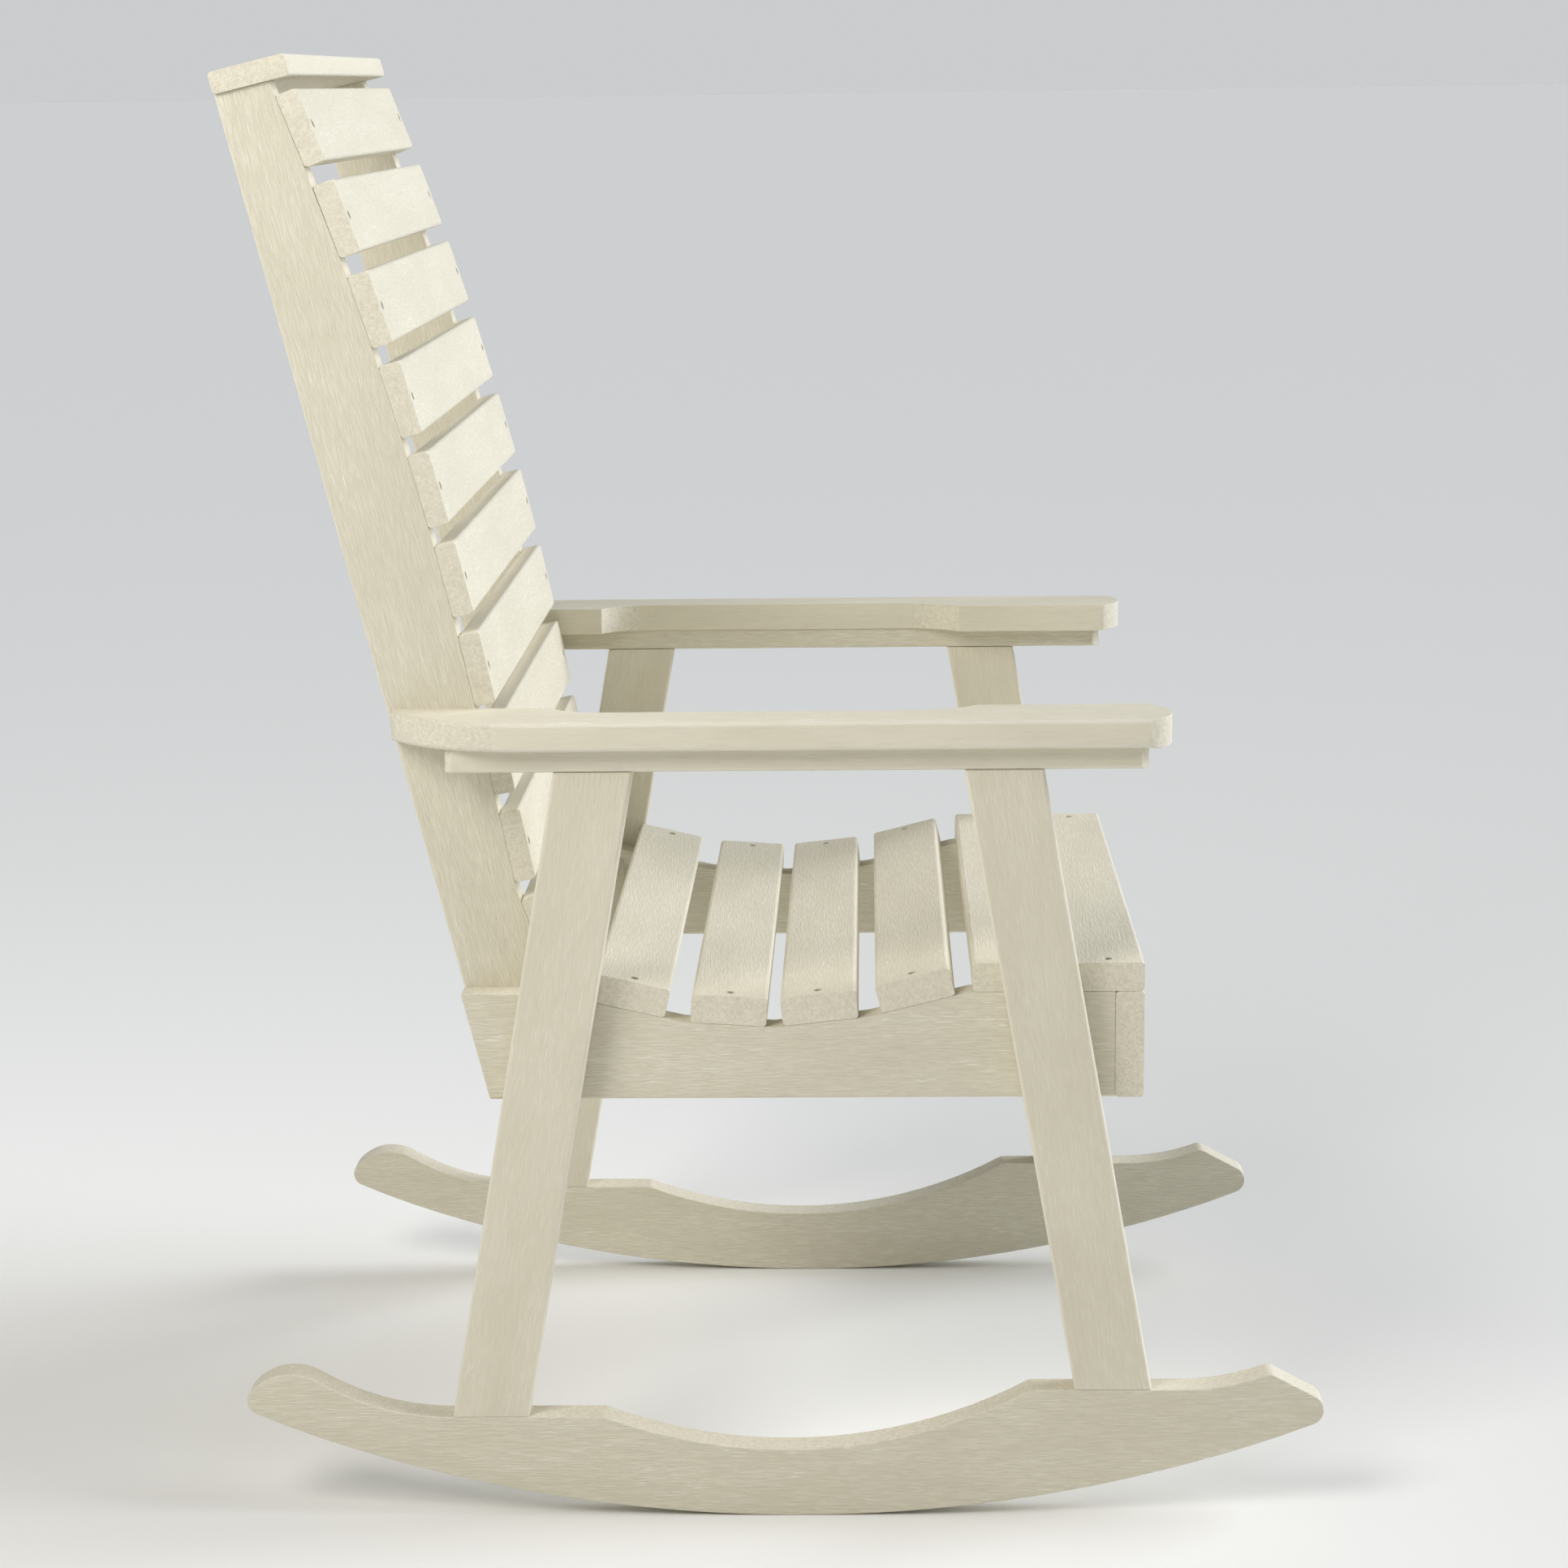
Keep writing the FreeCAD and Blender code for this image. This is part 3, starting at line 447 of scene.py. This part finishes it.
def screw_tree(steel):
    """A screw with a square drive on each point, facing the point's way."""
    tree = bpy.data.node_groups.new("square_drive_screws", "GeometryNodeTree")
    face = tree.interface
    face.new_socket("Geometry", in_out="INPUT", socket_type="NodeSocketGeometry")
    for size in (*SCREW_SIZES, LENGTH_INPUT):
        face.new_socket(size, in_out="INPUT", socket_type="NodeSocketFloat")
    face.new_socket("Geometry", in_out="OUTPUT", socket_type="NodeSocketGeometry")
    given = tree_node(tree, "NodeGroupInput").outputs
    neck = vector_of(tree, Z=times(tree, given["Head height"], -1.0))
    screw = tree_node(tree, "GeometryNodeJoinGeometry")
    tree.links.new(screw_head(tree, given, neck), screw.inputs[0])
    tree.links.new(screw_shank(tree, given, neck), screw.inputs[0])
    way = tree_node(tree, "GeometryNodeInputNamedAttribute", [("Name", "faces")],
                    data_type="FLOAT_VECTOR").outputs[0]
    turn = tree_node(tree, "FunctionNodeAlignRotationToVector", [("Vector", way)],
                     axis="Z").outputs[0]
    copies = tree_node(tree, "GeometryNodeInstanceOnPoints", [
        ("Points", given["Geometry"]), ("Instance", screw.outputs[0]),
        ("Rotation", turn)]).outputs[0]
    solid = tree_node(tree, "GeometryNodeRealizeInstances", [("Geometry", copies)]).outputs[0]
    dressed = tree_node(tree, "GeometryNodeSetMaterial", [
        ("Geometry", solid), ("Material", steel)]).outputs[0]
    tree_node(tree, "NodeGroupOutput", [(0, dressed)])
    return tree


def screw_points(name, places):
    """A bare point at each head's top, with the way that the screw faces."""
    mesh = bpy.data.meshes.new(f"{name}_points")
    mesh.from_pydata([top for top, way, length in places], [], [])
    faces = mesh.attributes.new("faces", "FLOAT_VECTOR", "POINT")
    for value, (top, way, length) in zip(faces.data, places):
        value.vector = way
    return linked(f"{name}_maker", mesh)


def driven_screws(name, tree):
    """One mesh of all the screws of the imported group, which are all of one length."""
    places = screw_places(name)
    sizes = {**SCREW_SIZES, LENGTH_INPUT: places[0][2]}
    maker = screw_points(name, places)
    modifier = maker.modifiers.new("screws", "NODES")
    modifier.node_group = tree
    for item in tree.interface.items_tree:
        if item.name in sizes:
            modifier[item.identifier] = sizes[item.name]
    made = maker.evaluated_get(bpy.context.evaluated_depsgraph_get())
    mesh = bpy.data.meshes.new_from_object(made)
    bpy.data.objects.remove(maker)
    mesh.name = f"{name}_set"
    mesh.set_sharp_from_angle(angle=SMOOTH_ANGLE)
    screws = linked(f"{name}_set", mesh)
    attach(screws, "root")
    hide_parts(name)


# Finishes

def new_finish(name):
    """The node tree and the surface of a new finish, and the finish itself."""
    finish = bpy.data.materials.new(name)
    finish.use_nodes = True
    return finish.node_tree, finish.node_tree.nodes["Principled BSDF"], finish


def stored(tree, attribute, output):
    """What lay_grain has stored on the board under that name."""
    return tree_node(tree, "ShaderNodeAttribute", attribute_name=attribute).outputs[output]


def scaled(tree, place, cells):
    """The place in cells along, across and through the board."""
    return tree_node(tree, "ShaderNodeMapping", [("Vector", place), ("Scale", cells)]).outputs[0]


def noise(tree, place, cells, detail=2.0, roughness=0.5, distortion=0.0):
    """A cloudy pattern with that many cells a metre each way."""
    return tree_node(tree, "ShaderNodeTexNoise", [
        ("Vector", scaled(tree, place, cells)), ("Scale", 1.0), ("Detail", detail),
        ("Roughness", roughness), ("Distortion", distortion)]).outputs["Fac"]


def raised(tree, surface, height, relief):
    """Lifts the surface by the height's share of the relief."""
    bump = tree_node(tree, "ShaderNodeBump", [
        ("Strength", 1.0), ("Distance", relief), ("Height", height)])
    tree.links.new(bump.outputs[0], surface.inputs["Normal"])


def swayed(tree, place):
    """The place moved a little to and fro, so that the grain doesn't run straight."""
    sway = times(tree, minus(tree, noise(tree, place, **WANDER), NOISE_MIDDLE), SWAY)
    return tree_node(tree, "ShaderNodeVectorMath", [
        (0, place), (1, vector_of(tree, Y=sway, Z=sway))], operation="ADD").outputs[0]


def moulded_lumber():
    """Off-white lumber as the mould left it: rippled grain on the wide faces, smoother edges."""
    tree, surface, finish = new_finish("moulded_lumber")
    place = stored(tree, "board_place", "Vector")
    wide = stored(tree, "wide_face", "Fac")
    depth = stored(tree, "grain_depth", "Fac")
    on_wide = times(tree, ranged(tree, wide, WIDE_SPAN), depth)
    grain_place = swayed(tree, place)
    ripples = ranged(tree, noise(tree, grain_place, **RIPPLES), RIPPLE_SPAN)
    streaks = ranged(tree, noise(tree, grain_place, **STREAKS), STREAK_SPAN)
    specks = noise(tree, place, **SPECKS)
    clouds = noise(tree, place, **CLOUDS)

    height = times(tree, ripples, ranged(tree, wide, WIDE_SPAN, RIPPLE_HEIGHTS))
    height = plus(tree, height, times(tree, streaks, STREAK_HEIGHT))
    height = plus(tree, height, times(tree, specks, SPECK_HEIGHT))
    raised(tree, surface, times(tree, height, depth), MOULDED_RELIEF)

    body = blended(tree, ranged(tree, clouds, CLOUD_SPAN), MOULDED_DARK, MOULDED_PALE)
    # Painted shade: the grain's grooves are darkened, most on the wide faces
    groove_shade = times(tree, minus(tree, 1.0, ripples), ranged(tree, wide, WIDE_SPAN, GROOVE_SHADE_SHARES))
    body = blended(tree, times(tree, groove_shade, depth), body, GROOVE_SHADE_COLOR)
    scuffed = times(tree, on_wide, ranged(tree, clouds, SCUFF_SPAN, SCUFF_SHARES))
    body = blended(tree, times(tree, streaks, scuffed), body, SCUFF_COLOR)
    speckled = times(tree, ranged(tree, specks, SPECK_SPAN), SPECK_SHARE)
    body = blended(tree, speckled, body, SPECK_COLOR)
    # Painted highlight: the rounded edges between the narrow and the wide faces are lightened
    edge_highlight = times(tree, ranged(tree, wide, OFF_EDGE_SPAN),
                   ranged(tree, wide, OFF_WIDE_SPAN, (1.0, 0.0)))
    body = blended(tree, times(tree, edge_highlight, EDGE_HIGHLIGHT_SHARE), body, EDGE_HIGHLIGHT_COLOR)
    tree.links.new(body, surface.inputs["Base Color"])

    roughness = minus(tree, ranged(tree, ripples, WHOLE, GROOVE_TO_RIDGE_ROUGHNESS),
                      times(tree, edge_highlight, EDGE_GLOSS))
    tree.links.new(roughness, surface.inputs["Roughness"])
    return finish


def sawn_lumber():
    """The same lumber where the saw opened it: paler, mottled, with the foam's small pits in painted
    shade.
    """
    tree, surface, finish = new_finish("sawn_lumber")
    place = stored(tree, "board_place", "Vector")
    clouds = noise(tree, place, **SAWN_CLOUDS)
    mottle = noise(tree, place, **MOTTLE)
    grit = noise(tree, place, **GRIT)
    cells = tree_node(tree, "ShaderNodeTexVoronoi", [
        ("Vector", scaled(tree, place, PIT_CELLS)), ("Scale", 1.0)]).outputs
    pits = times(tree, ranged(tree, cells["Distance"], PIT_EDGE, (1.0, 0.0)),
                 ranged(tree, clouds, PITTED_SPAN))

    body = blended(tree, ranged(tree, mottle, MOTTLE_SPAN), SAWN_DARK, SAWN_PALE)
    gritty = times(tree, ranged(tree, grit, GRIT_SPAN), GRIT_SHARE)
    body = blended(tree, gritty, body, GRIT_COLOR)
    # Painted shade: the pits are darkened
    body = blended(tree, times(tree, pits, PIT_SHADE_SHARE), body, PIT_SHADE_COLOR)
    tree.links.new(body, surface.inputs["Base Color"])

    height = minus(tree, times(tree, grit, GRIT_HEIGHT), pits)
    height = plus(tree, height, times(tree, mottle, MOTTLE_HEIGHT))
    raised(tree, surface, height, SAWN_RELIEF)
    surface.inputs["Roughness"].default_value = SAWN_ROUGHNESS
    return finish


def screw_steel():
    """Stainless steel with a fine haze, dulled by weather."""
    tree, surface, finish = new_finish("screw_steel")
    place = tree_node(tree, "ShaderNodeTexCoord").outputs["Object"]
    haze = noise(tree, place, **HAZE)
    body = blended(tree, haze, STEEL_DARK, STEEL_PALE)
    tree.links.new(body, surface.inputs["Base Color"])
    tree.links.new(ranged(tree, haze, HAZE_SPAN, STEEL_ROUGHNESS), surface.inputs["Roughness"])
    surface.inputs["Metallic"].default_value = 1.0
    raised(tree, surface, haze, STEEL_RELIEF)
    return finish


# Studio

def make_camera():
    """Where the picture was taken from: beside the chair and above its arms, with a long lens."""
    ahead = Vector((math.cos(CAMERA_YAW) * math.cos(CAMERA_PITCH),
                    -math.sin(CAMERA_YAW) * math.cos(CAMERA_PITCH), -math.sin(CAMERA_PITCH)))
    right = Vector((-math.sin(CAMERA_YAW), -math.cos(CAMERA_YAW), 0))
    down = ahead.cross(right)
    rolled_right = right * math.cos(CAMERA_ROLL) + down * math.sin(CAMERA_ROLL)
    rolled_down = down * math.cos(CAMERA_ROLL) - right * math.sin(CAMERA_ROLL)
    turn = Matrix((rolled_right, -rolled_down, -ahead)).transposed()
    lens = bpy.data.cameras.new("picture_camera")
    lens.sensor_width = FILM_WIDTH_MM
    lens.lens = FILM_WIDTH_MM * LENS_LENGTH_PX / PICTURE_WIDTH_PX
    camera = linked("picture_camera", lens)
    camera.matrix_world = Matrix.Translation(CAMERA_PLACE) @ turn.to_4x4()
    bpy.context.scene.camera = camera


def make_room():
    """Walls pale at eye level all round, and higher up pale beyond the chair and dim on this side."""
    room = bpy.data.worlds.new("studio_room")
    room.use_nodes = True
    tree = room.node_tree
    way = tree_node(tree, "ShaderNodeTexCoord").outputs["Generated"]
    ways = tree_node(tree, "ShaderNodeSeparateXYZ", [("Vector", way)]).outputs
    walls = ranged(tree, ways["X"], NEAR_TO_FAR_SPAN, NEAR_TO_FAR_GLOW)
    above = mixed(tree, ranged(tree, ways["Z"], WALL_TOP_SPAN), walls, CEILING_GLOW)
    strength = mixed(tree, ranged(tree, ways["Z"], EYE_LEVEL_SPAN), EYE_LEVEL_GLOW, above)
    glow = tree.nodes["Background"]
    glow.inputs["Color"].default_value = ROOM_COLOR
    tree.links.new(strength, glow.inputs["Strength"])
    bpy.context.scene.world = room


def make_floor():
    """A wide pale floor without any shine."""
    corners = [(x * FLOOR_REACH, y * FLOOR_REACH, 0)
               for x, y in ((-1, -1), (1, -1), (1, 1), (-1, 1))]
    mesh = bpy.data.meshes.new("studio_floor")
    mesh.from_pydata(corners, [], [(0, 1, 2, 3)])
    _, surface, finish = new_finish("pale_floor")
    surface.inputs["Base Color"].default_value = FLOOR_COLOR
    surface.inputs["Roughness"].default_value = 1.0
    surface.inputs["Specular IOR Level"].default_value = 0.0
    mesh.materials.append(finish)
    floor = linked("studio_floor", mesh)


def aimed_lamp(name, kind, place, target, power, color):
    """A lamp at that place, turned towards the target."""
    lamp = bpy.data.lights.new(name, kind)
    lamp.energy = power
    lamp.color = color
    light = linked(name, lamp)
    light.location = place
    light.rotation_euler = (target - place).to_track_quat("-Z", "Y").to_euler()
    return lamp


def make_lights():
    """Broad soft light from the front, even all over the floor, and a window's from the near side."""
    front = aimed_lamp("front_light", "SUN", FRONT_LIGHT_WAY * FRONT_LIGHT_DISTANCE, Vector(),
                       FRONT_LIGHT_POWER, FRONT_LIGHT_COLOR)
    front.angle = FRONT_LIGHT_SPREAD
    side = aimed_lamp("side_light", "AREA", SIDE_LIGHT_PLACE, SEAT_MIDDLE,
                      SIDE_LIGHT_POWER, SIDE_LIGHT_COLOR)
    side.size = SIDE_LIGHT_WIDTH


make_camera()
make_floor()
make_room()
make_lights()
bpy.context.scene.view_settings.view_transform = "Standard"

moulded, sawn = moulded_lumber(), sawn_lumber()
for board_name in BOARDS:
    finished_board(board_name, moulded, sawn)
screws = screw_tree(screw_steel())
for group_name in SCREW_GROUPS:
    driven_screws(group_name, screws)
